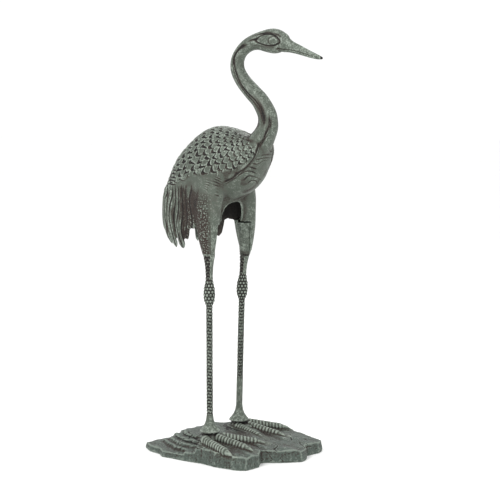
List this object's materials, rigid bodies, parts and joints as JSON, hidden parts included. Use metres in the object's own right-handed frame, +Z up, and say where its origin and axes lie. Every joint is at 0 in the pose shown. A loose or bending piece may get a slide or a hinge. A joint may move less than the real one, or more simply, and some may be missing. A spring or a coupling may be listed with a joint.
{
  "type": "crane garden statue",
  "caption": "Cast metal crane standing on a rock plinth, a garden statue with a hollow body open below, scaled legs and a verdigris finish.",
  "frame": {"origin": "on the ground, at the bottom centre of the bounding box", "axes": "+Z up, +X the way the bird faces, so its right side is at -Y"},
  "size_m": [0.4022, 0.2732, 0.8792],
  "materials": {
    "verdigris": "matte grey-green verdigris paint over cast aluminium, dark brown in the hollows of the carving"
  },
  "bodies": {
    "root": {"crane_body": "verdigris", "right_leg": "verdigris", "left_leg": "verdigris", "plinth": "verdigris"}
  },
  "joints": []
}
